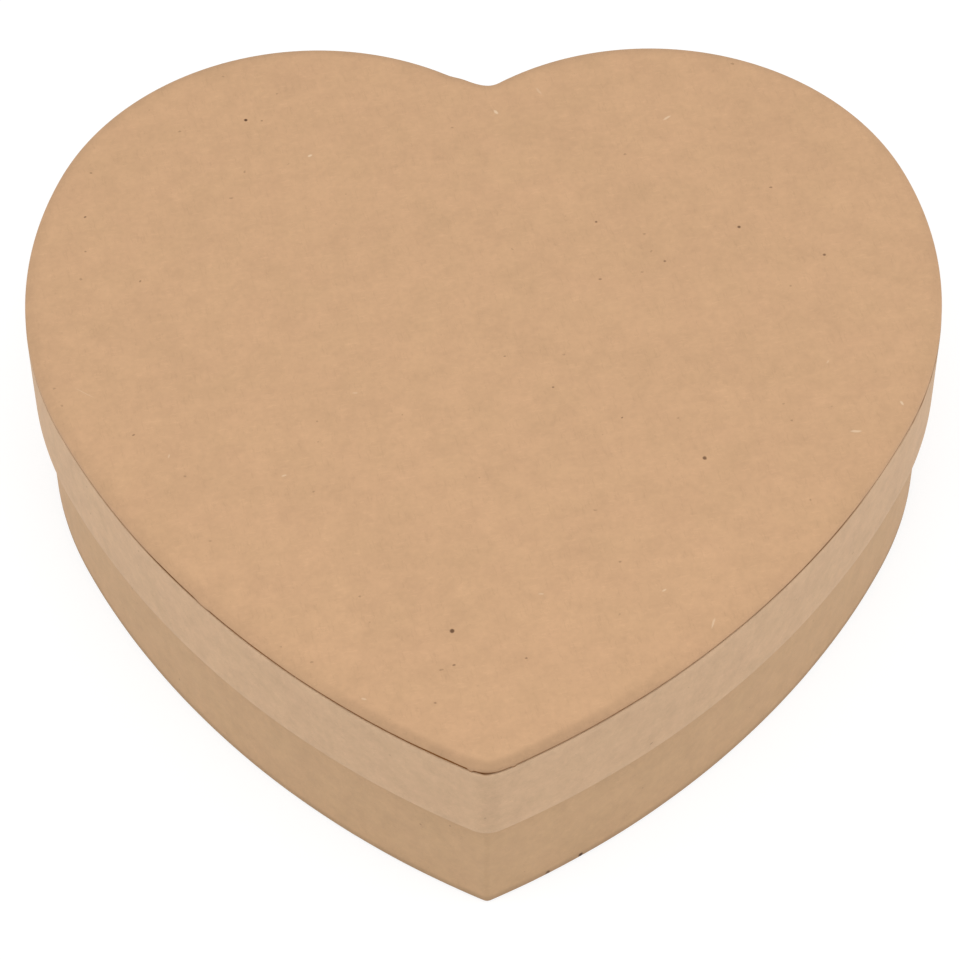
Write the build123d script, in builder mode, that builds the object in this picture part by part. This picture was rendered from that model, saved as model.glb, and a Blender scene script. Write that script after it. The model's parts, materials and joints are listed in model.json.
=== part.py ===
from build123d import *
import os
from math import atan2, degrees, hypot, sqrt

os.makedirs("parts", exist_ok=True)

# Heart outline on the outside of the lid rim, point toward -Y, millimetres
box_width = 200.0
box_length = 199.6
box_height = 52.0
side_radius = 198.0
shoulder_radius = 91.0
lobe_radius = 60.0
shoulder_bulge = 2.0
cleft_radius = 7.0

# Rounding of the point: blunt on the top panel, crisp where a strip is creased
top_tip_radius = 8.5
rim_tip_radius = 6.5
wall_tip_radius = 2.2

# Sheets the box is laminated from
paper_thickness = 0.3
strip_thickness = 1.0
panel_thickness = 2.0
tape_thickness = 0.15
glue_layer = 0.12

# Lid
rim_depth = 21.0
rim_turn_in = 7.0
seam_gap = 0.5
panel_setback = 0.1
panel_edge_bevel = 0.8
lining_clearance = 0.2

# Base
lid_clearance = 0.6
wall_turn_in = 9.0
tab_width = 10.0
tab_count = 36
tab_root = 1.0
notch_half_width = 2.5
sheet_gap = 0.6

# Joints of the strips at the cleft
butt_gap = 0.4
lap_start = 10.0
lap_width = 12.0
tape_width = 18.0
tape_end_gap = 1.0

# Levels, from the table up
base_height = box_height - panel_thickness - 2 * paper_thickness
panel_level = base_height + paper_thickness
rim_bottom = panel_level - rim_depth
floor_top = paper_thickness + panel_thickness
wall_foot = floor_top + paper_thickness

# Insets from the rim outline, from the outside in
rim_board_out = paper_thickness
rim_board_in = rim_board_out + strip_thickness
rim_inside = rim_board_in + paper_thickness
wall_outside = rim_inside + lid_clearance
wall_board_out = wall_outside + paper_thickness
wall_board_in = wall_board_out + strip_thickness
wall_inside = wall_board_in + paper_thickness

# Rounding of the point inside a folded strip
rim_board_tip = rim_tip_radius - paper_thickness
rim_fold_tip = rim_board_tip - strip_thickness
rim_inner_tip = rim_fold_tip - paper_thickness
wall_board_tip = wall_tip_radius - paper_thickness
wall_fold_tip = wall_board_tip - strip_thickness
wall_inner_tip = wall_fold_tip - paper_thickness

# Centres of the tangent arcs of the right half; an inset changes the radii, never the centres
lobe_x = box_width / 2 - shoulder_bulge - lobe_radius
lobe_y = box_length / 2 - lobe_radius
shoulder_x = box_width / 2 - shoulder_radius
shoulder_y = lobe_y - sqrt((shoulder_radius - lobe_radius) ** 2 - (lobe_x - shoulder_x) ** 2)
point_y = rim_tip_radius - box_length / 2

# The side arc is tangent to the shoulder arc and to the rounded point of the rim
shoulder_reach = side_radius - shoulder_radius
point_reach = side_radius - rim_tip_radius
span = hypot(shoulder_x, shoulder_y - point_y)
span_x = -shoulder_x / span
span_y = (point_y - shoulder_y) / span
along = (shoulder_reach**2 - point_reach**2 + span**2) / (2 * span)
across = sqrt(shoulder_reach**2 - along**2)
side_x = shoulder_x + along * span_x + across * span_y
side_y = shoulder_y + along * span_y - across * span_x


def heart(inset, tip_radius):
    """Filled heart, the rim outline drawn in by inset, its point rounded to tip_radius."""
    tip_y = side_y - sqrt((side_radius - inset - tip_radius) ** 2 - side_x**2)
    cleft_y = lobe_y + sqrt((lobe_radius + cleft_radius) ** 2 - lobe_x**2)
    at_tip = degrees(atan2(tip_y - side_y, -side_x))
    at_shoulder = degrees(atan2(shoulder_y - side_y, shoulder_x - side_x))
    at_lobe = degrees(atan2(lobe_y - shoulder_y, lobe_x - shoulder_x))
    at_cleft = degrees(atan2(cleft_y - lobe_y, -lobe_x))
    with BuildSketch() as filled:
        with BuildLine():
            tip = JernArc((0, tip_y - tip_radius), (1, 0), tip_radius, 90 + at_tip)
            side = JernArc(tip @ 1, tip % 1, side_radius - inset, at_shoulder - at_tip)
            shoulder = JernArc(side @ 1, side % 1, shoulder_radius - inset, at_lobe - at_shoulder)
            lobe = JernArc(shoulder @ 1, shoulder % 1, lobe_radius - inset, at_cleft - at_lobe)
            JernArc(lobe @ 1, lobe % 1, cleft_radius + inset, 90 - at_cleft)
            mirror(about=Plane.YZ)
        make_face()
    return filled.sketch


def band(outer_inset, outer_tip, inner_inset, inner_tip):
    """Heart-shaped band between two insets."""
    with BuildSketch() as ring:
        add(heart(outer_inset, outer_tip))
        add(heart(inner_inset, inner_tip), mode=Mode.SUBTRACT)
    return ring.sketch


def lap(inset, tip_radius, side):
    """Patch where the end of a wrap lies over its start, beside the cleft."""
    with BuildSketch() as patch:
        add(band(inset - paper_thickness, tip_radius + paper_thickness, inset, tip_radius))
        with Locations((side * (lap_start + lap_width / 2), box_length / 4)):
            Rectangle(lap_width, box_length / 2, mode=Mode.INTERSECT)
    return patch.sketch


def tape(inset, tip_radius):
    """Strip of tape on the inside of the cleft, on its layer of glue."""
    glued = inset + glue_layer
    with BuildSketch() as strip:
        add(band(glued, tip_radius, glued + tape_thickness, tip_radius))
        with Locations((0, box_length / 4)):
            Rectangle(tape_width, box_length / 2, mode=Mode.INTERSECT)
    return strip.sketch


def notches(inset, tip_radius):
    """V cuts that part the turned-in edge of the wall wrap into tabs."""
    edge = heart(inset, tip_radius).wire()
    with BuildSketch() as cuts:
        for i in range(tab_count):
            spot = edge @ ((i + 0.5) / tab_count)
            run = edge % ((i + 0.5) / tab_count)
            with Locations(Location((spot.X, spot.Y, 0), (0, 0, degrees(atan2(run.Y, run.X))))):
                Polygon(
                    (0, tab_root),
                    (notch_half_width, tab_width + tab_root),
                    (-notch_half_width, tab_width + tab_root),
                    align=None,
                )
    return cuts.sketch


# Lid: greyboard heart, its upper edge broken so that the sheet rolls over it
with BuildPart() as lid_top_board:
    with BuildSketch(Plane.XY.offset(panel_level)):
        add(heart(panel_setback + paper_thickness, top_tip_radius - paper_thickness))
    extrude(amount=panel_thickness)
    chamfer(lid_top_board.edges().group_by(Axis.Z)[-1], panel_edge_bevel)
lid_top_board.part.label = "lid_top_board"
export_step(lid_top_board.part, "parts/lid_top_board.step")

# Lid: kraft sheet of even thickness rolled down over the edge of the top board, short of the rim
with BuildPart() as lid_top_facing:
    with BuildSketch(Plane.XY.offset(panel_level + seam_gap)):
        add(heart(panel_setback, top_tip_radius))
    extrude(amount=panel_thickness + paper_thickness - seam_gap)
    roll = panel_edge_bevel + (2 - sqrt(2)) * paper_thickness
    chamfer(lid_top_facing.edges().group_by(Axis.Z)[-1], roll)
    add(lid_top_board.part, mode=Mode.SUBTRACT)
lid_top_facing.part.label = "lid_top_facing"
export_step(lid_top_facing.part, "parts/lid_top_facing.step")

# Lid: kraft sheet under the top board, inside the rim
with BuildPart() as lid_top_lining:
    with BuildSketch(Plane.XY.offset(base_height)):
        add(heart(rim_inside + lining_clearance, rim_inner_tip))
    extrude(amount=paper_thickness)
lid_top_lining.part.label = "lid_top_lining"
export_step(lid_top_lining.part, "parts/lid_top_lining.step")

# Lid: chipboard strip bent round the heart, its ends butted at the cleft
with BuildPart() as lid_rim_board:
    with BuildSketch(Plane.XY.offset(rim_bottom + paper_thickness)):
        add(band(rim_board_out, rim_board_tip, rim_board_in, rim_fold_tip))
        with Locations((0, box_length / 4)):
            Rectangle(butt_gap, box_length / 2, mode=Mode.SUBTRACT)
    extrude(amount=rim_depth - 2 * paper_thickness)
lid_rim_board.part.label = "lid_rim_board"
export_step(lid_rim_board.part, "parts/lid_rim_board.step")

# Lid: kraft wrap, over the top edge of the strip, down the outside, under and up the inside
with BuildPart() as lid_rim_wrap:
    with BuildSketch(Plane.XY.offset(rim_bottom)):
        add(band(0, rim_tip_radius, rim_inside, rim_inner_tip))
    extrude(amount=rim_depth)
    with BuildSketch(Plane.XY.offset(rim_bottom)):
        add(lap(0, rim_tip_radius, 1))
    extrude(amount=rim_depth)
    with BuildSketch(Plane.XY.offset(rim_bottom + paper_thickness)):
        add(band(rim_board_out, rim_board_tip, rim_board_in, rim_fold_tip))
    extrude(amount=rim_depth - 2 * paper_thickness, mode=Mode.SUBTRACT)
    with BuildSketch(Plane.XY.offset(rim_bottom + rim_turn_in)):
        add(band(rim_board_in, rim_fold_tip, rim_inside, rim_inner_tip))
    extrude(amount=rim_depth - rim_turn_in, mode=Mode.SUBTRACT)
lid_rim_wrap.part.label = "lid_rim_wrap"
export_step(lid_rim_wrap.part, "parts/lid_rim_wrap.step")

# Lid: kraft strip inside the rim, above the turned-in edge of the wrap
with BuildPart() as lid_rim_lining:
    with BuildSketch(Plane.XY.offset(rim_bottom + rim_turn_in)):
        add(band(rim_board_in, rim_fold_tip, rim_inside, rim_inner_tip))
        with Locations((0, box_length / 4)):
            Rectangle(butt_gap, box_length / 2, mode=Mode.SUBTRACT)
    extrude(amount=rim_depth - rim_turn_in)
lid_rim_lining.part.label = "lid_rim_lining"
export_step(lid_rim_lining.part, "parts/lid_rim_lining.step")

# Lid: paper tape over the joint of the strip
with BuildPart() as lid_joint_tape:
    with BuildSketch(Plane.XY.offset(rim_bottom + tape_end_gap)):
        add(tape(rim_inside, rim_inner_tip))
    extrude(amount=rim_depth - paper_thickness - 2 * tape_end_gap)
lid_joint_tape.part.label = "lid_joint_tape"
export_step(lid_joint_tape.part, "parts/lid_joint_tape.step")

# Base: greyboard heart let in between the walls
with BuildPart() as base_floor_board:
    with BuildSketch(Plane.XY.offset(paper_thickness)):
        add(heart(wall_board_in, wall_fold_tip))
    extrude(amount=panel_thickness)
base_floor_board.part.label = "base_floor_board"
export_step(base_floor_board.part, "parts/base_floor_board.step")

# Base: kraft sheet on the underside, inside the ring of tabs
with BuildPart() as base_bottom_sheet:
    with BuildSketch():
        add(heart(wall_outside + tab_width + sheet_gap, wall_tip_radius))
    extrude(amount=paper_thickness)
base_bottom_sheet.part.label = "base_bottom_sheet"
export_step(base_bottom_sheet.part, "parts/base_bottom_sheet.step")

# Base: kraft sheet on the floor
with BuildPart() as base_floor_lining:
    with BuildSketch(Plane.XY.offset(floor_top)):
        add(heart(wall_board_in, wall_fold_tip))
    extrude(amount=paper_thickness)
base_floor_lining.part.label = "base_floor_lining"
export_step(base_floor_lining.part, "parts/base_floor_lining.step")

# Base: chipboard strip bent round the heart, its ends butted at the cleft
with BuildPart() as base_wall_board:
    with BuildSketch(Plane.XY.offset(paper_thickness)):
        add(band(wall_board_out, wall_board_tip, wall_board_in, wall_fold_tip))
        with Locations((0, box_length / 4)):
            Rectangle(butt_gap, box_length / 2, mode=Mode.SUBTRACT)
    extrude(amount=base_height - 2 * paper_thickness)
base_wall_board.part.label = "base_wall_board"
export_step(base_wall_board.part, "parts/base_wall_board.step")

# Base: kraft wrap, over the top edge of the wall, down the outside, tabs turned in underneath
with BuildPart() as base_wall_wrap:
    with BuildSketch():
        add(band(wall_outside, wall_tip_radius, wall_inside, wall_inner_tip))
    extrude(amount=base_height)
    with BuildSketch():
        add(lap(wall_outside, wall_tip_radius, -1))
    extrude(amount=base_height)
    with BuildSketch(Plane.XY.offset(paper_thickness)):
        add(band(wall_board_out, wall_board_tip, wall_board_in, wall_fold_tip))
    extrude(amount=base_height - 2 * paper_thickness, mode=Mode.SUBTRACT)
    with BuildSketch():
        add(band(wall_board_in, wall_fold_tip, wall_inside, wall_inner_tip))
    extrude(amount=base_height - wall_turn_in, mode=Mode.SUBTRACT)
    with BuildSketch():
        add(band(wall_outside, wall_tip_radius, wall_outside + tab_width, wall_tip_radius))
    extrude(amount=paper_thickness)
    with BuildSketch():
        add(notches(wall_outside, wall_tip_radius))
    extrude(amount=paper_thickness, mode=Mode.SUBTRACT)
base_wall_wrap.part.label = "base_wall_wrap"
export_step(base_wall_wrap.part, "parts/base_wall_wrap.step")

# Base: kraft strip inside the wall, from the floor up to the turned-in edge of the wrap
with BuildPart() as base_wall_lining:
    with BuildSketch(Plane.XY.offset(wall_foot)):
        add(band(wall_board_in, wall_fold_tip, wall_inside, wall_inner_tip))
        with Locations((0, box_length / 4)):
            Rectangle(butt_gap, box_length / 2, mode=Mode.SUBTRACT)
    extrude(amount=base_height - wall_turn_in - wall_foot)
base_wall_lining.part.label = "base_wall_lining"
export_step(base_wall_lining.part, "parts/base_wall_lining.step")

# Base: paper tape over the joint of the strip
with BuildPart() as base_joint_tape:
    with BuildSketch(Plane.XY.offset(wall_foot + tape_end_gap)):
        add(tape(wall_inside, wall_inner_tip))
    extrude(amount=base_height - wall_foot - 2 * tape_end_gap)
base_joint_tape.part.label = "base_joint_tape"
export_step(base_joint_tape.part, "parts/base_joint_tape.step")
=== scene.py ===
"""Heart-shaped kraft gift box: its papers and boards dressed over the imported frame."""

from __future__ import annotations

import json
import logging
import math
from dataclasses import dataclass, field, replace
from enum import Enum
from functools import reduce
from typing import Optional, Sequence, Union

import bpy
from bpy.types import ID, Material, Node, NodeSocket, NodeTree, Object
from mathutils import Matrix, Vector, noise

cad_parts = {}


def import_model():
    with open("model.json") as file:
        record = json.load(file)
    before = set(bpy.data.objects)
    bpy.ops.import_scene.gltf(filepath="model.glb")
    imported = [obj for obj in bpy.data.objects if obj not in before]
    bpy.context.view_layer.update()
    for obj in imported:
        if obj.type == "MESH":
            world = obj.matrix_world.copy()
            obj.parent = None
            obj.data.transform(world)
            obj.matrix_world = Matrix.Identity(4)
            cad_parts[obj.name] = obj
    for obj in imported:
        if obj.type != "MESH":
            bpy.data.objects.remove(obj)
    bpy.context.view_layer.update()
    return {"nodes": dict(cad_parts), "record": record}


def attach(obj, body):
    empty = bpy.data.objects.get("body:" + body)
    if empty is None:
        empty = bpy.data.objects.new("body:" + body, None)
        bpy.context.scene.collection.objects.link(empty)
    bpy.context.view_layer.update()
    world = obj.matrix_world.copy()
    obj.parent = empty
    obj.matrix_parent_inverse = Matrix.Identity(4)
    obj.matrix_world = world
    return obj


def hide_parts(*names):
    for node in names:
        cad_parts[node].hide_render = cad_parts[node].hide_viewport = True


log = logging.getLogger("heart_box")

MM = 0.001
CREASE = math.radians(50.0)

# Layers of the noise, one for each uneven thing
SEAM_LAYER, EDGE_LAYER, SWELL_LAYER = 0.0, 3.0, 7.0

Pair = tuple[float, float]
Triple = tuple[float, float, float]
Value = Union["Wire", float, int, Sequence[float]]
Settings = Optional[dict[str, object]]
Sockets = Optional[dict[Union[str, int], Value]]


class Body(Enum):
    """Moving bodies of the box."""

    BASE = "base"
    LID = "lid"


class Slot(Enum):
    """Slots of the record that the modelled papers belong to."""

    FACING = "kraft_facing"
    WRAP = "kraft_wrap"


class Paper(Enum):
    """Papers and boards of the box, by the names of their materials."""

    FACING = "kraft_facing"
    RIM = "kraft_rim"
    WALL = "kraft_wall"
    LINING = "kraft_lining"
    TAPE = "paper_tape"
    CHIPBOARD = "chipboard"
    GREYBOARD = "greyboard"
    # Greyboard darkened as painted shade, for the edge that shows in the seam
    GLUED_BOARD = "glued_greyboard"


class Share(Enum):
    """Shares stored at the vertices of a piece, for its finish to read."""

    # Paler folds: wear, and partly a painted highlight where folds catch the light
    FOLD = "fold"
    # Painted shade: the rolled edge of the top sheet and the foot of the wall
    ROLL = "roll"
    # Painted shadow in the open seam under the top sheet
    GROOVE = "groove"


def ease(low: float, high: float, value: float) -> float:
    """Smooth step from 0 at low to 1 at high; low may be the larger."""
    share = min(1.0, max(0.0, (value - low) / (high - low)))
    return share * share * (3.0 - 2.0 * share)


def between(stops: Sequence[Pair], value: float) -> float:
    """Piecewise smooth curve through stops.

    Args:
        stops: Pairs of place and height, in rising order of place.
        value: Place to read.

    Returns:
        Height at the place, level beyond both ends.
    """
    for (start, low), (end, high) in zip(stops, stops[1:]):
        if value <= end:
            return low + (high - low) * ease(start, end, value)
    return stops[-1][1]


def uneven(p: Vector, layer: float, scale: float) -> float:
    """Smooth noise from -1 to 1 at a point, with so many lumps to the millimetre."""
    return noise.noise(Vector((*p, layer)) * scale)


# Node trees


class Wire:
    """Output socket that takes part in Python arithmetic by adding Math nodes."""

    def __init__(self, book: NodeBook, socket: NodeSocket) -> None:
        """Keep the socket and the book of its tree."""
        self.book = book
        self.socket = socket

    def _math(self, operation: str, left: Value, right: Value) -> Wire:
        """Add one Math node on two values."""
        return self.book.add("ShaderNodeMath", {"operation": operation}, {0: left, 1: right})

    def __add__(self, other: Value) -> Wire:
        """Sum."""
        return self._math("ADD", self, other)

    __radd__ = __add__

    def __sub__(self, other: Value) -> Wire:
        """Difference."""
        return self._math("SUBTRACT", self, other)

    def __rsub__(self, other: Value) -> Wire:
        """Difference with a number on the left."""
        return self._math("SUBTRACT", other, self)

    def __mul__(self, other: Value) -> Wire:
        """Product."""
        return self._math("MULTIPLY", self, other)

    __rmul__ = __mul__

    def __mod__(self, other: Value) -> Wire:
        """Remainder."""
        return self._math("MODULO", self, other)

    def __gt__(self, other: Value) -> Wire:
        """1 where this is the larger, else 0."""
        return self._math("GREATER_THAN", self, other)

    def or_more(self, other: Value) -> Wire:
        """Larger of the two."""
        return self._math("MAXIMUM", self, other)

    def beside(self, output: str) -> Wire:
        """Another output of the same node."""
        return Wire(self.book, self.socket.node.outputs[output])

    def fade(self, none: float, full: float) -> Wire:
        """Smooth mask from 0 at none to 1 at full; none may be the larger."""
        return self.book.add(
            "ShaderNodeMapRange",
            {"interpolation_type": "SMOOTHSTEP", "clamp": True},
            {"Value": self, "From Min": none, "From Max": full, "To Min": 0.0, "To Max": 1.0},
        )


class NodeBook:
    """Adds nodes to one tree, each by its type, settings and socket values or links.

    Sockets that share a name are told apart by their places, as the colours of a Mix node are.
    """

    COLOUR_A, COLOUR_B, COLOUR_OUT = 6, 7, 2

    def __init__(self, tree: NodeTree) -> None:
        """Start with the tree emptied."""
        self.tree = tree
        tree.nodes.clear()

    def node(self, kind: str, settings: Settings = None, sockets: Sockets = None) -> Node:
        """Add any node.

        Args:
            kind: Blender's name of the node type.
            settings: Properties of the node, set before its sockets.
            sockets: Input values or links, by socket name or place.

        Returns:
            The new node.
        """
        made = self.tree.nodes.new(kind)
        for key, setting in (settings or {}).items():
            setattr(made, key, setting)
        for key, value in (sockets or {}).items():
            if isinstance(value, Wire):
                self.tree.links.new(value.socket, made.inputs[key])
            else:
                made.inputs[key].default_value = value
        return made

    def add(
        self,
        kind: str,
        settings: Settings = None,
        sockets: Sockets = None,
        output: Union[str, int] = 0,
    ) -> Wire:
        """Add any node in the same way and give one of its outputs, ready for arithmetic."""
        return Wire(self, self.node(kind, settings, sockets).outputs[output])

    def vector(self, operation: str, left: Value, right: Value) -> Wire:
        """Vector Math on two vectors."""
        return self.add("ShaderNodeVectorMath", {"operation": operation}, {0: left, 1: right})

    def length(self, value: Wire) -> Wire:
        """Length of a vector."""
        return self.add("ShaderNodeVectorMath", {"operation": "LENGTH"}, {0: value}, "Value")

    def scaled(self, value: Value, factor: Value) -> Wire:
        """Vector or colour times a number."""
        return self.add("ShaderNodeVectorMath", {"operation": "SCALE"}, {0: value, "Scale": factor})

    def upward(self, height: Wire) -> Wire:
        """Vector along Z."""
        return self.add("ShaderNodeCombineXYZ", None, {"Z": height})

    def blend(self, first: Value, second: Value, share: Value) -> Wire:
        """Mix of two colours.

        Args:
            first: Colour where the share is 0.
            second: Colour where it is 1.
            share: Share of the second colour, held between 0 and 1.

        Returns:
            The mixed colour.
        """
        a, b = (v if isinstance(v, Wire) else (*v, 1.0) for v in (first, second))
        sockets = {0: share, self.COLOUR_A: a, self.COLOUR_B: b}
        return self.add("ShaderNodeMix", {"data_type": "RGBA"}, sockets, self.COLOUR_OUT)

    def stored(self, share: Share) -> Wire:
        """Share stored at the vertices of the piece."""
        return self.add("ShaderNodeAttribute", {"attribute_name": share.value}, None, "Fac")

    def millimetres(self) -> Wire:
        """Place on the piece, from its Object coordinates."""
        return self.scaled(self.add("ShaderNodeTexCoord", output="Object"), 1.0 / MM)

    def mapped(
        self, place: Wire, turn: float, unit: Triple, centre: Triple = (0.0, 0.0, 0.0)
    ) -> Wire:
        """Place in a frame of its own.

        Args:
            place: Place on the piece in millimetres.
            turn: Turn of the frame about Z, in degrees.
            unit: Length, width and height of one unit of the frame.
            centre: Centre of the frame.

        Returns:
            The place from that centre, along those axes, in those units.
        """
        turned = (0.0, 0.0, math.radians(turn))
        sockets = {"Vector": place, "Location": centre, "Rotation": turned, "Scale": unit}
        return self.add("ShaderNodeMapping", {"vector_type": "TEXTURE"}, sockets)

    def cloud(self, place: Wire, size: float, detail: float = 2.0, rough: float = 0.5) -> Wire:
        """Soft noise about 0, with lumps of about the given size in millimetres."""
        sockets = {"Vector": place, "Scale": 1.0 / size, "Detail": detail, "Roughness": rough}
        return self.add("ShaderNodeTexNoise", {"noise_dimensions": "3D"}, sockets, "Fac") - 0.5


def new_material(name: str) -> tuple[Material, NodeBook]:
    """Start a material.

    Args:
        name: Its name.

    Returns:
        The material, and the book of its emptied tree.
    """
    made = bpy.data.materials.new(name)
    made.use_nodes = True
    return made, NodeBook(made.node_tree)


# Finishes


@dataclass(frozen=True)
class Mark:
    """Speck or fleck at a known place on a sheet, in millimetres and degrees."""

    x: float
    y: float
    length: float
    width: float
    turn: float
    strength: float
    z: float = 52.0
    half_height: float = 0.8
    edge: float = 1.2
    core: float = 0.5

    def mask(self, book: NodeBook, place: Wire) -> Wire:
        """Mask of the mark.

        Args:
            book: Book of the material's tree.
            place: Place on the piece in millimetres.

        Returns:
            The mark's strength in its core, 0 beyond its edge.
        """
        half_size = (self.length / 2, self.width / 2, self.half_height)
        local = book.mapped(place, self.turn, half_size, (self.x, self.y, self.z))
        return book.length(local).fade(self.edge, self.core) * self.strength


@dataclass(frozen=True)
class Scatter:
    """Fibres, specks or flecks strewn over a turned grid, in millimetres and degrees.

    The edge and the core of each are distances from its middle, in cells of the grid. The share is
    the share of cells that hold one.
    """

    turn: float
    cell: Triple
    edge: float
    core: float
    share: float

    def mask(self, book: NodeBook, place: Wire) -> Wire:
        """Mask of all of them.

        Args:
            book: Book of the material's tree.
            place: Place on the piece in millimetres.

        Returns:
            1 in the core of each, 0 beyond its edge.
        """
        distance = book.add(
            "ShaderNodeTexVoronoi",
            {"voronoi_dimensions": "3D", "feature": "F1"},
            {"Vector": book.mapped(place, self.turn, self.cell), "Scale": 1.0, "Randomness": 1.0},
            "Distance",
        )
        number = book.add("ShaderNodeSeparateColor", None, {0: distance.beside("Color")})
        return distance.fade(self.edge, self.core) * (number > 1.0 - self.share)


SPECKS = Scatter(20.0, (4.8, 3.4, 3.4), edge=0.10, core=0.05, share=0.16)
PALE_FIBRES = Scatter(12.0, (5.0, 0.42, 0.42), edge=0.42, core=0.16, share=0.4)
BROWN_FIBRES = Scatter(104.0, (6.0, 0.46, 0.46), edge=0.42, core=0.16, share=0.4)
PULP_FLECKS = Scatter(35.0, (1.6, 0.7, 0.7), edge=0.40, core=0.22, share=0.28)


@dataclass(frozen=True)
class Look:
    """What changes over a sheet: its colour, its roughness and the height of its relief."""

    colour: Wire
    roughness: Wire
    height: Wire


@dataclass(frozen=True)
class Finish:
    """Matte finish of a sheet; each kind of sheet has its own look."""

    paper: Paper
    tone: Triple
    roughness: float = 0.75
    gloss: float = 0.2
    sheen: float = 0.0
    bump: float = 0.22
    relief: float = 0.12

    def toned(self, shares: Triple) -> Triple:
        """Tone of the sheet, with each of its parts times a share."""
        return tuple(part * share for part, share in zip(self.tone, shares))

    def look(self, book: NodeBook, place: Wire) -> Look:
        """Look of the sheet, which each kind of sheet gives."""
        raise NotImplementedError

    def material(self) -> Material:
        """Build the material of the sheet.

        Returns:
            The new material.
        """
        made, book = new_material(self.paper.value)
        look = self.look(book, book.millimetres())
        relief = book.add(
            "ShaderNodeBump",
            None,
            {"Strength": self.bump, "Distance": self.relief * MM, "Height": look.height},
        )
        surface = book.add(
            "ShaderNodeBsdfPrincipled",
            None,
            {
                "Base Color": look.colour,
                "Roughness": look.roughness,
                "Normal": relief,
                "Specular IOR Level": self.gloss,
                "Sheen Weight": self.sheen,
            },
        )
        book.node("ShaderNodeOutputMaterial", None, {"Surface": surface})
        return made


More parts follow.
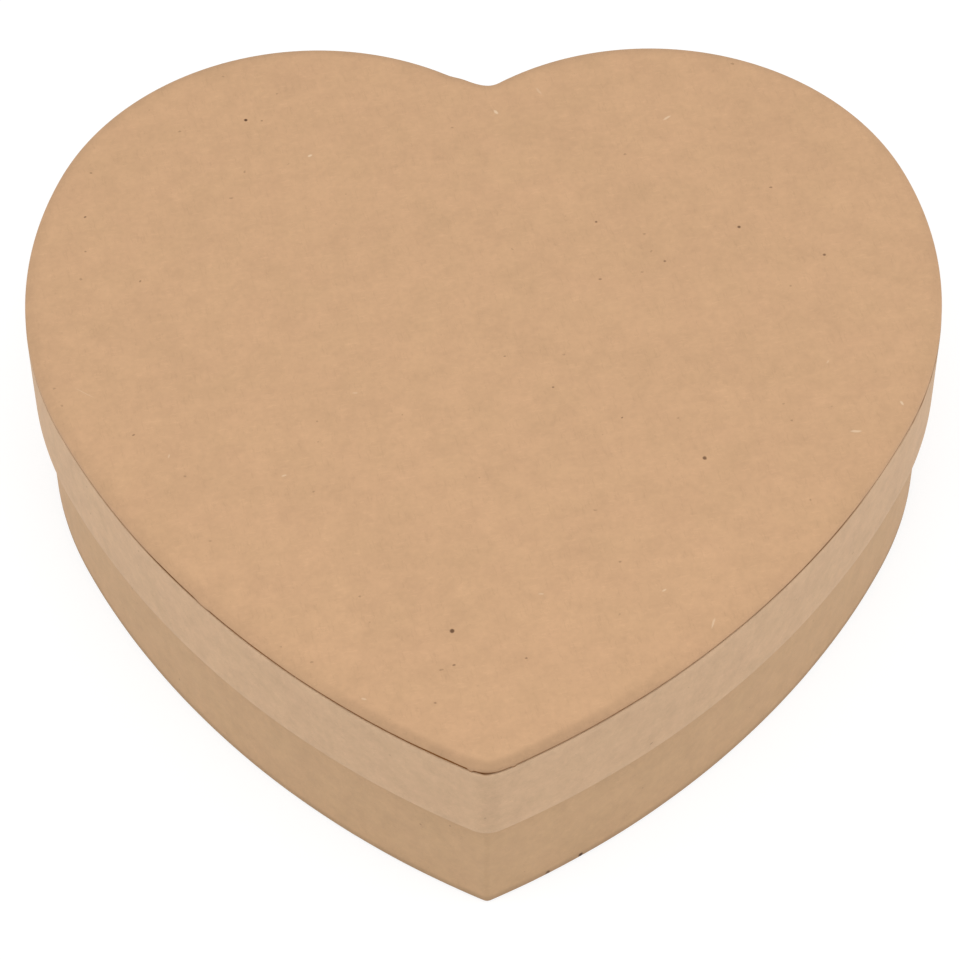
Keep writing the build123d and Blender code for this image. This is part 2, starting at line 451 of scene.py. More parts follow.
@dataclass(frozen=True)
class KraftFinish(Finish):
    """Matte brown kraft paper: soft clouds, short fibres, bark specks, paler folds that are partly
    wear and partly a painted highlight, painted shade and painted shadow.
    """

    sheen: float = 0.04
    cloud: float = 0.07
    cloud_size: float = 26.0
    mottle: float = 0.20
    mottle_size: float = 4.5
    grain: float = 0.20
    grain_size: float = 1.4
    grain_roughness: float = 0.25
    tint: float = 0.012
    tint_size: float = 9.0
    tint_shift: Triple = (71.0, 13.0, 40.0)
    sway_scale: float = 0.9
    mark_sway: float = 0.3
    fibre: float = 0.05
    pale_fibre_relief: float = 0.25
    brown_fibre_relief: float = 0.15
    specks: Scatter = SPECKS
    speck_depth: float = 0.30
    bark: Triple = (0.13, 0.085, 0.055)
    fleck_tone: Triple = (0.86, 0.66, 0.45)
    # Paler folds: real wear, and partly a painted highlight where the rim's top fold catches the
    # light
    wear_and_highlight: float = 0.0
    wear_even: float = 0.7
    wear_patchy: float = 1.6
    worn_and_lit_tone: Triple = (0.74, 0.57, 0.40)
    # Painted shade, read from the shade share stored at the vertices
    roll_shade: float = 0.0
    # Painted shadow in the seam, read from its stored share
    groove: float = 0.0
    seam_shadow_tone: Triple = (0.195, 0.064, 0.0015)
    dark_marks: tuple[Mark, ...] = ()
    light_marks: tuple[Mark, ...] = ()

    def look(self, book: NodeBook, place: Wire) -> Look:
        """Look of the paper.

        Args:
            book: Book of the material's tree.
            place: Place on the piece in millimetres.

        Returns:
            Its colour, roughness and height.
        """
        waves = {"Vector": place, "Scale": self.sway_scale, "Detail": 2.0}
        shake = book.add("ShaderNodeTexNoise", None, waves, "Color")
        sway = book.vector("SUBTRACT", shake, (0.5, 0.5, 0.5))
        bent = book.vector("ADD", place, sway)
        near = book.vector("ADD", place, book.scaled(sway, self.mark_sway))
        grain = book.cloud(place, self.grain_size, detail=4.0, rough=0.7)
        pale = PALE_FIBRES.mask(book, bent)
        brown = BROWN_FIBRES.mask(book, bent)
        shade = 1.0 + self.cloud * book.cloud(place, self.cloud_size)
        shade = shade + self.mottle * book.cloud(bent, self.mottle_size, rough=0.6)
        shade = shade + self.grain * grain + self.fibre * pale - self.fibre * brown
        # Painted shade: darker near the rolled edge of the top sheet and toward the foot of the
        # wall
        if self.roll_shade > 0.0:
            shade = shade * (1.0 - self.roll_shade * book.stored(Share.ROLL))
        colour = book.scaled(self._tints(book, place), shade)
        colour = self._marked(book, colour, bent, near)
        colour = self._wear_highlight_and_shadow(book, colour, grain)
        height = grain + self.pale_fibre_relief * pale - self.brown_fibre_relief * brown
        return Look(colour, self.roughness + self.grain_roughness * grain, height)

    def _tints(self, book: NodeBook, place: Wire) -> Wire:
        """Tone of the paper, a little pinker here and a little yellower there.

        Args:
            book: Book of the material's tree.
            place: Place on the piece in millimetres.

        Returns:
            The tone.
        """
        drift = book.cloud(book.vector("ADD", place, self.tint_shift), self.tint_size, detail=1.0)
        pinker = self.toned((1.0 + self.tint, 1.0, 1.0 + self.tint))
        yellower = self.toned((1.0 - self.tint, 1.0, 1.0 - self.tint))
        return book.blend(pinker, yellower, 0.5 + drift)

    def _marked(self, book: NodeBook, colour: Wire, bent: Wire, near: Wire) -> Wire:
        """Paper with its specks and flecks.

        Args:
            book: Book of the material's tree.
            colour: Colour of the paper without them.
            bent: Place on the piece, shaken, for the strewn specks.
            near: Place on the piece, shaken less, for the marks at known places.

        Returns:
            Colour of the paper with them.
        """
        specks = self.specks.mask(book, bent) * self.speck_depth
        dark = reduce(Wire.or_more, [mark.mask(book, near) for mark in self.dark_marks], specks)
        colour = book.blend(colour, self.toned(self.bark), dark)
        if self.light_marks:
            light = reduce(Wire.or_more, [mark.mask(book, near) for mark in self.light_marks])
            colour = book.blend(colour, self.fleck_tone, light)
        return colour

    def _wear_highlight_and_shadow(self, book: NodeBook, colour: Wire, grain: Wire) -> Wire:
        """Paper with its folds made paler, partly wear and partly a painted highlight, and painted
        shadow in the open seam.

        Args:
            book: Book of the material's tree.
            colour: Colour of the fresh paper.
            grain: Fine noise, which makes the paler folds patchy.

        Returns:
            Colour with the paler folds and the painted shadow.
        """
        # Paler folds, partly wear and partly a painted highlight
        if self.wear_and_highlight > 0.0:
            patches = self.wear_even + self.wear_patchy * grain
            rubbed_and_lit = book.stored(Share.FOLD) * patches * self.wear_and_highlight
            colour = book.blend(colour, self.worn_and_lit_tone, rubbed_and_lit)
        # Painted shadow in the open seam, darkest next to the edge of the top sheet
        if self.groove > 0.0:
            colour = book.blend(colour, self.seam_shadow_tone, book.stored(Share.GROOVE) * self.groove)
        return colour


@dataclass(frozen=True)
class BoardFinish(Finish):
    """Raw board of pulped paper: grey-brown, with coarse flecks and layered edges."""

    roughness: float = 0.9
    gloss: float = 0.05
    bump: float = 0.4
    relief: float = 0.2
    contrast: float = 0.35
    pulp_size: float = 1.8
    pulp_roughness: float = 0.15
    layer_stretch: Triple = (0.12, 0.12, 4.0)
    layer_share: float = 0.5
    fleck_tone: Triple = (0.40, 0.32, 0.24)
    fleck_share: float = 0.5
    fleck_relief: float = 0.4

    def look(self, book: NodeBook, place: Wire) -> Look:
        """Look of the board.

        Args:
            book: Book of the material's tree.
            place: Place on the piece in millimetres.

        Returns:
            Its colour, roughness and height.
        """
        pulp = book.cloud(place, self.pulp_size, detail=4.0, rough=0.65)
        layers = book.cloud(book.vector("MULTIPLY", place, self.layer_stretch), 1.0)
        flecks = PULP_FLECKS.mask(book, place)
        shade = 1.0 + self.contrast * pulp + self.layer_share * self.contrast * layers
        colour = book.scaled(self.tone, shade)
        colour = book.blend(colour, self.fleck_tone, self.fleck_share * flecks)
        height = pulp + self.fleck_relief * flecks
        return Look(colour, self.roughness + self.pulp_roughness * pulp, height)


# Meshes


def linked(name: str, data: ID) -> Object:
    """Put an object in the scene, at the origin.

    Args:
        name: Its name.
        data: Its mesh, curve, light or camera.

    Returns:
        The object.
    """
    made = bpy.data.objects.new(name, data)
    bpy.context.scene.collection.objects.link(made)
    return made


def poly_curve(name: str, points: Sequence[Pair], closed: bool) -> Object:
    """Straight-segment curve in the XY plane.

    Args:
        name: Name of the object.
        points: Its points in millimetres.
        closed: Whether it is a loop.

    Returns:
        The curve object, in metres.
    """
    curve = bpy.data.curves.new(name, "CURVE")
    curve.dimensions = "3D"
    spline = curve.splines.new("POLY")
    spline.points.add(len(points) - 1)
    for spot, (x, y) in zip(spline.points, points):
        spot.co = (x * MM, y * MM, 0.0, 1.0)
    spline.use_cyclic_u = closed
    return linked(name, curve)


def mesh_piece(
    name: str,
    points: Sequence[Sequence[float]],
    faces: Sequence[Sequence[int]],
    paper: Optional[Material] = None,
) -> Object:
    """Mesh object from points in millimetres.

    Args:
        name: Name of the piece.
        points: Its vertices.
        faces: Its faces, as places in points.
        paper: Its material.

    Returns:
        The object, at the origin, in metres.
    """
    mesh = bpy.data.meshes.new(name)
    mesh.from_pydata([tuple(c * MM for c in p) for p in points], [], faces)
    mesh.update()
    mesh.shade_smooth()
    if paper is not None:
        mesh.materials.append(paper)
    return linked(name, mesh)


def ring_faces(around: int, rings: int) -> list[tuple[int, ...]]:
    """Faces of a fan round a first point and of the rings of points outside it.

    Args:
        around: Number of points in a ring.
        rings: Number of rings.

    Returns:
        The faces, as places in the points.
    """
    faces: list[tuple[int, ...]] = [(0, 1 + i, 1 + (i + 1) % around) for i in range(around)]
    for ring in range(rings - 1):
        inner, outer = 1 + ring * around, 1 + (ring + 1) * around
        for i in range(around):
            after = (i + 1) % around
            faces.append((inner + i, outer + i, outer + after, inner + after))
    return faces


def settled(name: str, source: Object) -> Object:
    """Plain mesh of what an object's modifiers make of it.

    Args:
        name: Name of the new object.
        source: The object with the modifiers, which stays as it is.

    Returns:
        The new object.
    """
    graph = bpy.context.evaluated_depsgraph_get()
    mesh = bpy.data.meshes.new_from_object(source.evaluated_get(graph))
    mesh.name = name
    mesh.shade_smooth()
    return linked(name, mesh)


def thickened(piece: Object, thickness: float, offset: float = -1.0) -> Object:
    """Give a single sheet its thickness and crisp cut edges.

    Args:
        piece: Sheet whose faces point outward; it is used up.
        thickness: Thickness in millimetres.
        offset: -1 to thicken behind the faces, 1 in front of them.

    Returns:
        The solid sheet, under the same name.
    """
    name = piece.name
    wall = piece.modifiers.new("thickness", "SOLIDIFY")
    wall.thickness = thickness * MM
    wall.offset = offset
    wall.use_even_offset = True
    piece.name = f"{name}_sheet"
    solid = settled(name, piece)
    bpy.data.objects.remove(piece, do_unlink=True)
    solid.data.set_sharp_from_angle(angle=CREASE)
    return solid


def set_shares(piece: Object, share: Share, values: Sequence[float]) -> None:
    """Store a share at each vertex."""
    layer = piece.data.attributes.new(share.value, "FLOAT", "POINT")
    layer.data.foreach_set("value", values)


# Shapes


@dataclass(frozen=True)
class HeartOutline:
    """Heart of tangent arcs that every paper is cut to, point toward -Y, in millimetres.

    The steps are those of the arcs in order: point, side, shoulder, lobe and cleft. Along the side
    they crowd toward the point.
    """

    width: float = 200.0
    length: float = 199.6
    side_radius: float = 198.0
    shoulder_radius: float = 91.0
    lobe_radius: float = 60.0
    shoulder_bulge: float = 2.0
    cleft_radius: float = 7.0
    rim_tip_radius: float = 6.5
    steps: tuple[int, ...] = (8, 90, 56, 84, 10)
    side_crowding: float = 1.5

    def centres(self) -> tuple[Vector, Vector, Vector]:
        """Work out the arcs of the right half.

        Returns:
            Centres of the side, shoulder and lobe arcs.
        """
        half_width, half_length = self.width / 2, self.length / 2
        lobe_x = half_width - self.shoulder_bulge - self.lobe_radius
        lobe = Vector((lobe_x, half_length - self.lobe_radius))
        shoulder_x = half_width - self.shoulder_radius
        reach = self.shoulder_radius - self.lobe_radius
        shoulder = Vector((shoulder_x, lobe.y - math.sqrt(reach**2 - (lobe.x - shoulder_x) ** 2)))
        run = Vector((0.0, self.rim_tip_radius - half_length)) - shoulder
        span = run.length
        run.normalize()
        near = self.side_radius - self.shoulder_radius
        far = self.side_radius - self.rim_tip_radius
        along = (near**2 - far**2 + span**2) / (2 * span)
        across = math.sqrt(near**2 - along**2)
        side = shoulder + along * run + across * Vector((run.y, -run.x))
        return side, shoulder, lobe

    def ring(self, inset: float, tip_radius: float) -> list[Vector]:
        """Closed outline drawn in by an inset.

        Args:
            inset: Distance inside the outline of the rim.
            tip_radius: Rounding of the point.

        Returns:
            Points from the point of the heart round by +X, the same count for every inset.
        """
        side, shoulder, lobe = self.centres()
        tip_reach = self.side_radius - inset - tip_radius
        tip = Vector((0.0, side.y - math.sqrt(tip_reach**2 - side.x**2)))
        cleft_reach = self.lobe_radius + self.cleft_radius
        cleft = Vector((0.0, lobe.y + math.sqrt(cleft_reach**2 - lobe.x**2)))

        def bearing(start: Vector, end: Vector) -> float:
            """Direction from one point to another."""
            return math.atan2(end.y - start.y, end.x - start.x)

        at_tip, at_shoulder = bearing(side, tip), bearing(side, shoulder)
        at_lobe, at_cleft = bearing(shoulder, lobe), bearing(lobe, cleft)
        arcs = (
            (tip, tip_radius, -math.pi / 2, at_tip),
            (side, self.side_radius - inset, at_tip, at_shoulder),
            (shoulder, self.shoulder_radius - inset, at_shoulder, at_lobe),
            (lobe, self.lobe_radius - inset, at_lobe, at_cleft),
            (cleft, self.cleft_radius + inset, bearing(cleft, lobe), -math.pi / 2),
        )
        half: list[Vector] = []
        for (centre, radius, start, end), steps in zip(arcs, self.steps):
            for i in range(steps):
                share = (i / steps) ** self.side_crowding if centre is side else i / steps
                angle = start + (end - start) * share
                half.append(centre + radius * Vector((math.cos(angle), math.sin(angle))))
        half.append(Vector((0.0, cleft.y - self.cleft_radius - inset)))
        mirrored = [Vector((-p.x, p.y)) for p in reversed(half[1:-1])]
        return half + mirrored

    def at_back(self, p: Vector) -> bool:
        """Whether a point is far enough back to lie on the lobes or in the cleft."""
        return p.y > self.length / 4

    def stretch(self, inset: float, tip_radius: float, low: float, high: float) -> list[Vector]:
        """Open run of the outline beside the cleft, between two values of x."""
        ring = self.ring(inset, tip_radius)
        return [p for p in ring if self.at_back(p) and low <= p.x <= high]


@dataclass
class PaperProfile:
    """Section of a folded strip: points out from the path and up from the table, in millimetres."""

    points: list[Pair] = field(default_factory=list)
    folds: list[Pair] = field(default_factory=list)
    fold_steps: int = 6
    fold_core: float = 0.2

    def line(self, out: float, up: float, step: float = 2.0) -> None:
        """Go straight to a point, in short steps.

        Args:
            out: How far out the point is.
            up: How far up it is.
            step: Length of a step, about.
        """
        if not self.points:
            self.points.append((out, up))
            return
        old_out, old_up = self.points[-1]
        count = max(1, round(math.hypot(out - old_out, up - old_up) / step))
        for i in range(1, count + 1):
            share = i / count
            self.points.append((old_out + (out - old_out) * share, old_up + (up - old_up) * share))

    def fold(self, corner: Pair, after: Pair, radius: float) -> None:
        """Go to a corner and round it toward the next point.

        Args:
            corner: Sharp corner of the fold.
            after: Next corner of the section.
            radius: Rounding of the fold.
        """
        tip = Vector(corner)
        inward = (Vector(self.points[-1]) - tip).normalized() * radius
        onward = (Vector(after) - tip).normalized() * radius
        centre = tip + inward + onward
        start = tip + inward
        self.line(start.x, start.y)
        for i in range(1, self.fold_steps + 1):
            angle = math.pi / 2 * i / self.fold_steps
            spot = centre - onward * math.cos(angle) - inward * math.sin(angle)
            self.points.append((spot.x, spot.y))
        self.folds.append(corner)

    def nearness(self, index: int, reach: float) -> float:
        """How near a point of the section is to a fold, from 0 at the reach to 1."""
        spans = [(Vector(self.points[index]) - Vector(fold)).length for fold in self.folds]
        return max(ease(reach, self.fold_core, span) for span in spans)


class PaperTree:
    """Geometry Nodes tree that makes a piece of paper along a path."""

    def __init__(self, name: str, inputs: dict[str, str]) -> None:
        """Start the tree with its inputs.

        Args:
            name: Name of the tree.
            inputs: Kind of each input by its name, apart from the path and the paper.
        """
        self.tree = bpy.data.node_groups.new(name, "GeometryNodeTree")
        face = self.tree.interface
        self.keys: dict[str, str] = {}
        for label, kind in {"Path": "Geometry", **inputs, "Paper": "Material"}.items():
            socket = face.new_socket(label, in_out="INPUT", socket_type=f"NodeSocket{kind}")
            self.keys[label] = socket.identifier
        face.new_socket("Piece", in_out="OUTPUT", socket_type="NodeSocketGeometry")
        self.book = NodeBook(self.tree)
        self.path = self.book.add("NodeGroupInput", output="Path")

    def given(self, label: str) -> Wire:
        """One of the inputs."""
        return self.path.beside(label)

    def shape(self, label: str) -> Wire:
        """Geometry of an input that is an object."""
        sockets = {"Object": self.given(label)}
        return self.book.add("GeometryNodeObjectInfo", None, sockets, "Geometry")

    def close(self, made: Wire) -> None:
        """End the tree with plain geometry in the given paper.

        Args:
            made: What the tree has made.
        """
        real = self.book.add("GeometryNodeRealizeInstances", None, {"Geometry": made})
        sockets = {"Geometry": real, "Material": self.given("Paper")}
        papered = self.book.add("GeometryNodeSetMaterial", None, sockets)
        self.book.node("NodeGroupOutput", None, {0: papered})

    def along(
        self, name: str, path: Sequence[Vector], closed: bool, inputs: dict[str, object]
    ) -> Object:
        """Run the tree along a path.

        Args:
            name: Name of the piece.
            path: Points of the path on the table, in millimetres.
            closed: Whether the path comes round to its start.
            inputs: Value of each input by its name; an object among them is used up.

        Returns:
            The piece as a plain mesh.
        """
        rail = poly_curve(f"{name}_path", [(p.x, p.y) for p in path], closed)
        nodes = rail.modifiers.new("paper", "NODES")
        nodes.node_group = self.tree
        for label, value in inputs.items():
            nodes[self.keys[label]] = value
        piece = settled(name, rail)
        spent = [value for value in inputs.values() if isinstance(value, Object)]
        for thing in [rail, *spent]:
            bpy.data.objects.remove(thing, do_unlink=True)
        return piece


class PaperSweep(PaperTree):
    """Tree that runs a folded section along a path, with so many ripples to the metre."""

    RIPPLE_SCALE = 70.0

    def __init__(self) -> None:
        """Build the tree once, for every strip."""
        super().__init__("paper_sweep", {"Profile": "Object", "Ripple": "Float", "Seed": "Float"})
        book = self.book
        level = book.add("GeometryNodeSetCurveNormal", {"mode": "Z_UP"}, {"Curve": self.path})
        curves = {"Curve": level, "Profile Curve": self.shape("Profile")}
        strip = book.add("GeometryNodeCurveToMesh", None, curves)
        lumps = book.add(
            "ShaderNodeTexNoise",
            {"noise_dimensions": "4D"},
            {
                "Vector": book.add("GeometryNodeInputPosition"),
                "W": self.given("Seed"),
                "Scale": self.RIPPLE_SCALE,
                "Detail": 1.0,
            },
        )
        sway = (lumps - 0.5) * self.given("Ripple")
        offset = book.scaled(book.add("GeometryNodeInputNormal"), sway)
        moved = {"Geometry": strip, "Offset": offset}
        self.close(book.add("GeometryNodeSetPosition", None, moved))

    def run(
        self,
        name: str,
        path: Sequence[Vector],
        profile: PaperProfile,
        paper: Material,
        closed: bool = True,
        ripple: float = 0.1,
        seed: float = 1.0,
    ) -> Object:
        """Run a section along a path.

        Args:
            name: Name of the piece.
            path: Points of the path on the table, in millimetres.
            profile: Section of the strip.
            paper: Its material.
            closed: Whether the path comes round to its start.
            ripple: Height of the ripple in millimetres.
            seed: Seed of the ripple.

        Returns:
            The strip as a plain mesh, its vertices section by section along the path.
        """
        section = poly_curve(f"{name}_section", [(out, -up) for out, up in profile.points], False)
        inputs = {"Profile": section, "Ripple": ripple * MM, "Seed": seed, "Paper": paper}
        return self.along(name, path, closed, inputs)


class TabRing(PaperTree):
    """Tree that sets snipped paper tabs along a path, pointing inward.

    A tab is turned by up to the skew, in radians. Every second one is lifted, in millimetres,
    because neighbours overlap where the path turns sharply. The least, the most and the drawn
    number are the places of sockets of the Random Value node.
    """

    SKEW = 0.03
    LIFT = 0.05
    SEED = 4
    LEAST, MOST, DRAWN = 2, 3, 1

    def __init__(self) -> None:
        """Build the tree."""
        kinds = {"Tab": "Object", "Count": "Int", "Skew": "Float", "Lift": "Float", "Seed": "Int"}
        super().__init__("tab_ring", kinds)
        book = self.book
        spots = book.add(
            "GeometryNodeCurveToPoints",
            {"mode": "COUNT"},
            {"Curve": self.path, "Count": self.given("Count")},
            "Points",
        )
        facing = book.add(
            "FunctionNodeAlignRotationToVector",
            {"axis": "X", "pivot_axis": "Z"},
            {"Vector": spots.beside("Tangent")},
        )
        placed = {"Points": spots, "Instance": self.shape("Tab"), "Rotation": facing}
        tabs = book.add("GeometryNodeInstanceOnPoints", None, placed)
        skew = self.given("Skew")
        turn = book.add(
            "FunctionNodeRandomValue",
            {"data_type": "FLOAT"},
            {self.LEAST: -1.0 * skew, self.MOST: skew, "Seed": self.given("Seed")},
            self.DRAWN,
        )
        turned = {"Instances": tabs, "Rotation": book.upward(turn)}
        askew = book.add("GeometryNodeRotateInstances", None, turned)
        odd = book.add("GeometryNodeInputIndex") % 2.0
        lifted = {"Instances": askew, "Translation": book.upward(odd * self.given("Lift"))}
        self.close(book.add("GeometryNodeTranslateInstances", None, lifted))

    def run(
        self,
        name: str,
        path: Sequence[Vector],
        tab: Object,
        count: int,
        paper: Material,
    ) -> Object:
        """Set tabs along a closed path.

        Args:
            name: Name of the piece.
            path: Points of the path on the table, in millimetres.
            tab: One flat tab, root at the origin along X, pointing along +Y; it is used up.
            count: Number of tabs.
            paper: Their material.

        Returns:
            The tabs as one plain mesh.
        """
        turns = {"Skew": self.SKEW, "Lift": self.LIFT * MM, "Seed": self.SEED}
        return self.along(name, path, True, {"Tab": tab, "Count": count, **turns, "Paper": paper})


# Sub-assemblies


@dataclass
class Shell:
    """What the lid and the base have in common: a wrapped strip with a lap, in millimetres.

    A pair of sizes says where something starts and where it is full, as ease() takes them.
    """

    outline: HeartOutline
    sweep: PaperSweep
    papers: dict[Paper, Material]
    wrap_thickness: float = 0.28
    fold_radius: float = 0.4
    fold_reach: float = 1.2
    lap_start: float = 10.0
    lap_end: float = 22.0
    lap_thickness: float = 0.26
    lap_lift: float = 0.02
    lap_ripple: float = 0.03

    def lap(
        self, name: str, path: Sequence[Vector], high: float, low: float, paper: Paper
    ) -> Object:
        """End of a wrapped strip, glued over its start beside the cleft.

        Args:
            name: Name of the piece.
            path: Stretch of the outline that it covers.
            high: Height of its upper edge.
            low: Height of its lower edge.
            paper: Paper that it is cut from.

        Returns:
            The lap.
        """
        section = PaperProfile()
        section.line(0.0, high)
        section.line(0.0, low)
        material = self.papers[paper]
        lap = self.sweep.run(name, path, section, material, closed=False, ripple=self.lap_ripple)
        lap = thickened(lap, self.lap_thickness, 1.0)
        return lap


# Height of the seam along x, and place and reach of the burrs of paper that cross it
SEAM_HEIGHTS = (
    (-98.0, 0.25), (-87.0, 0.24), (-80.0, 0.35), (-72.0, 0.42), (-65.0, 0.92), (-55.0, 0.90),
    (-46.0, 1.00), (-37.0, 0.80), (-19.0, 0.85), (-10.0, 1.06), (-4.0, 0.95), (0.0, 0.45),
    (5.0, 0.50), (13.0, 0.58), (31.0, 0.66), (40.0, 0.54), (50.0, 0.62), (66.0, 0.68),
    (75.0, 0.52), (83.0, 0.24), (95.0, 0.42),
)
SEAM_BURRS = ((-58.0, 1.2), (-3.2, 0.8), (5.5, 0.7))

# Painted shade of the top sheet by the distance inside its edge, along the sides and at the point
SIDE_SHADES = ((0.0, 1.16), (0.25, 1.1), (0.7, 0.75), (1.5, 0.62), (2.3, 0.27), (3.4, 0.0))
POINT_SHADES = ((0.0, 1.65), (0.9, 1.65), (1.2, 1.38), (1.5, 1.05), (1.9, 0.5), (2.4, 0.0))


@dataclass
class Lid(Shell):
    """Papers of the lid: top sheet rolled over its board, and wrapped rim with a lap."""

    top: float = 52.0
    panel_level: float = 49.7
    rim_bottom: float = 28.7
    rim_inside: float = 1.6
    rim_tuck: float = 1.4
    rim_tuck_fine: float = 0.6
    rim_seed: float = 1.7
    turn_in: float = 7.0
    lap_trim: float = 0.3
    edge_waver: float = 0.12
    edge_waver_scale: float = 0.06
    edge_waver_band: Pair = (6.0, 1.0)
    sheet_setback: float = 0.1
    sheet_tip_radius: float = 8.5
    sheet_thickness: float = 0.2
    sheet_middle_y: float = 15.0
    sheet_rings: int = 26
    swell_depth: float = 0.06
    swell_scale: float = 0.025
    roll_width: float = 2.6
    roll_height: float = 1.15
    roll_start: float = 3.1
    roll_reach: float = 3.6
    roll_steps: int = 10
    # Painted shadow on the rows of the sheet's cut edge, down into the seam
    edge_shadows: tuple[float, ...] = (0.0, 0.1, 0.5, 1.0)
    seam_gap: float = 0.5
    seam_change: Pair = (30.0, 80.0)
    seam_waver: float = 0.10
    seam_waver_scale: float = 0.35
    seam_least: float = 0.04
    seam_most: float = 0.92
    burr_depth: float = 0.8
    burr_core: float = 0.2
    # Painted shadow on the rim next to the open seam
    groove_seam: Pair = (0.2, 0.6)
    groove_reach: Pair = (0.32, -0.05)
    groove_depth: float = 0.3
    # Painted shade is weaker on the right side and stronger at the point
    right_shade_loss: float = 0.4
    right_shade_x: Pair = (20.0, 45.0)
    point_shade_x: Pair = (40.0, 12.0)
    point_shade_y: Pair = (0.0, -50.0)
    bridge_rise: float = 1.0
    bridge_left: Pair = (-8.0, -3.4)
    bridge_right: Pair = (3.0, -3.4)

    def build(self) -> list[Object]:
        """Build and dress the papers of the lid.

        Returns:
            The pieces.
        """
        pieces = [self.top_sheet(), self.rim_wrap(), self.rim_lap()]
        for piece in pieces:
            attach(piece, Body.LID.value)
        return pieces

    def seam(self, p: Vector) -> float:
        """Open seam under the edge of the top sheet.

        Args:
            p: Point of the outline.

        Returns:
            Height of the seam there.
        """
        front = between(SEAM_HEIGHTS, p.x)
        gap = front + (self.seam_gap - front) * ease(*self.seam_change, p.y)
        gap += self.seam_waver * uneven(p, SEAM_LAYER, self.seam_waver_scale)
        if p.y < 0.0:
            for burr, reach in SEAM_BURRS:
                gap -= self.burr_depth * ease(reach, self.burr_core * reach, abs(p.x - burr))
        return min(max(self.seam_least, gap), self.seam_most * self.roll_height)

    def shading(self, p: Vector, inset: float) -> float:
        """Painted shade darkening the top sheet near its edge, most at the point of the heart.

        Args:
            p: Point of the sheet.
            inset: Its distance inside the edge.

        Returns:
            How much the sheet darkens there.
        """
        sides = between(SIDE_SHADES, inset)
        sides *= 1.0 - self.right_shade_loss * ease(*self.right_shade_x, p.x)
        share = ease(*self.point_shade_x, abs(p.x)) * ease(*self.point_shade_y, p.y)
        return sides + (between(POINT_SHADES, inset) - sides) * share

    def bridge(self, p: Vector) -> Vector:
        """Let the paper span the left side of the cleft.

        Args:
            p: Point of the outline.

        Returns:
            The point, moved out where the paper spans the cleft.
        """
        if not self.outline.at_back(p):
            return p
        rise = Vector((0.0, self.bridge_rise))
        return p + rise * ease(*self.bridge_left, p.x) * ease(*self.bridge_right, p.x)

    def sheet_ring(self, inset: float) -> list[Vector]:
        """Outline of the top sheet, drawn in by an inset."""
        return [self.bridge(p) for p in self.outline.ring(inset, self.sheet_tip_radius)]

    def swell(self, spot: Vector, share: float) -> float:
        """Height of the nearly flat top sheet, level at its edge, where the share is 1."""
        wave = uneven(spot, SWELL_LAYER, self.swell_scale)
        return self.top - self.swell_depth * (0.5 + wave) * (1.0 - share**4)

    def roll_section(self) -> list[Pair]:
        """Section of the rolled edge of the top sheet.

        Returns:
            Inset and drop of its points, from the flat outward.
        """
        section = [(self.roll_reach, 0.0), (self.roll_start, 0.0)]
        for i in reversed(range(self.roll_steps + 1)):
            bend = math.pi / 2 * i / self.roll_steps
            inset = self.sheet_setback + self.roll_width * (1 - math.cos(bend))
            section.append((inset, self.roll_height * (1 - math.sin(bend))))
        return section

    def top_sheet(self) -> Object:
        """Kraft sheet on the top, rolled down over the edge of the board, short of the rim.

        Returns:
            The sheet.
        """
        middle = Vector((0.0, self.sheet_middle_y))
        flat = self.sheet_ring(self.roll_reach)
        rows = [(middle.x, middle.y, self.swell(middle, 0.0), 0.0, 0.0)]
        for i in range(1, self.sheet_rings):
            share = i / self.sheet_rings
            for spot in (middle.lerp(p, share) for p in flat):
                rows.append((spot.x, spot.y, self.swell(spot, share), 0.0, 0.0))
        for inset, drop in self.roll_section():
            for p in self.sheet_ring(inset):
                shade = self.shading(p, inset)
                rows.append((p.x, p.y, self.swell(p, 1.0) - drop, shade, 0.0))
        # Cut edge of the sheet, with painted shadow toward the seam
        for i, shadow_share in enumerate(self.edge_shadows, 1):
            for p in self.sheet_ring(self.sheet_setback):
                start = self.swell(p, 1.0) - self.roll_height
                foot = self.panel_level + self.seam(p)
                height = start + (foot - start) * i / len(self.edge_shadows)
                rows.append((p.x, p.y, height, self.shading(p, 0.0), shadow_share))
        faces = ring_faces(len(flat), (len(rows) - 1) // len(flat))
        paper = self.papers[Paper.FACING]
        sheet = mesh_piece("lid_top_sheet", [row[:3] for row in rows], faces, paper)
        # Stored shares: painted shade near the rolled edge, and painted shadow on the cut edge in
        # the seam
        set_shares(sheet, Share.ROLL, [row[3] for row in rows])
        set_shares(sheet, Share.GROOVE, [row[4] for row in rows])
        sheet = thickened(sheet, self.sheet_thickness)
        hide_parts("lid_top_facing")
        return sheet

    def rim_section(self) -> PaperProfile:
        """Section of the rim's strip: over the top edge, down the outside, under, up the inside.

        Returns:
            The section.
        """
        high, low, inside = self.panel_level, self.rim_bottom, -self.rim_inside
        section = PaperProfile()
        section.line(-self.rim_tuck, high)
        section.line(-self.rim_tuck_fine, high, step=0.2)
        section.fold((0.0, high), (0.0, low), self.fold_radius)
        section.fold((0.0, low), (inside, low), self.fold_radius)
        section.fold((inside, low), (inside, high), self.fold_radius)
        section.line(inside, low + self.turn_in)
        return section

